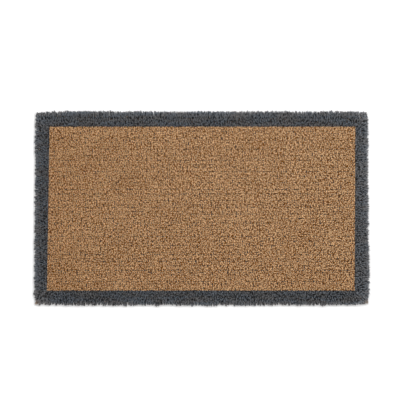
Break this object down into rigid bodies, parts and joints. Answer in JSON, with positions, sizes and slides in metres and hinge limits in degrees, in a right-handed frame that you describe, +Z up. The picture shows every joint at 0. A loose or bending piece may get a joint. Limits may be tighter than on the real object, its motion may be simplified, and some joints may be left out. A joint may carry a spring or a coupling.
{
  "type": "door mat",
  "caption": "Rectangular coir door mat: dense upright fibre pile set in a flexible vinyl backing, natural field with a dark dyed border.",
  "frame": {"origin": "middle of the underside, on the floor", "axes": "+X along the long side, +Y towards the back edge, +Z up out of the pile"},
  "size_m": [0.7126, 0.4126, 0.017],
  "materials": {
    "natural_coir": "matte bristly coir fibre, undyed",
    "dyed_coir": "matte bristly coir fibre, dyed dark grey from the tips down, natural at the roots",
    "vinyl_backing": "flexible vinyl, matte, finely embossed underneath"
  },
  "bodies": {
    "root": {"backing_sheet": "vinyl_backing", "field_tufts": "natural_coir", "border_tufts_front": "dyed_coir", "border_tufts_back": "dyed_coir", "border_tufts_left": "dyed_coir", "border_tufts_right": "dyed_coir"}
  },
  "joints": []
}
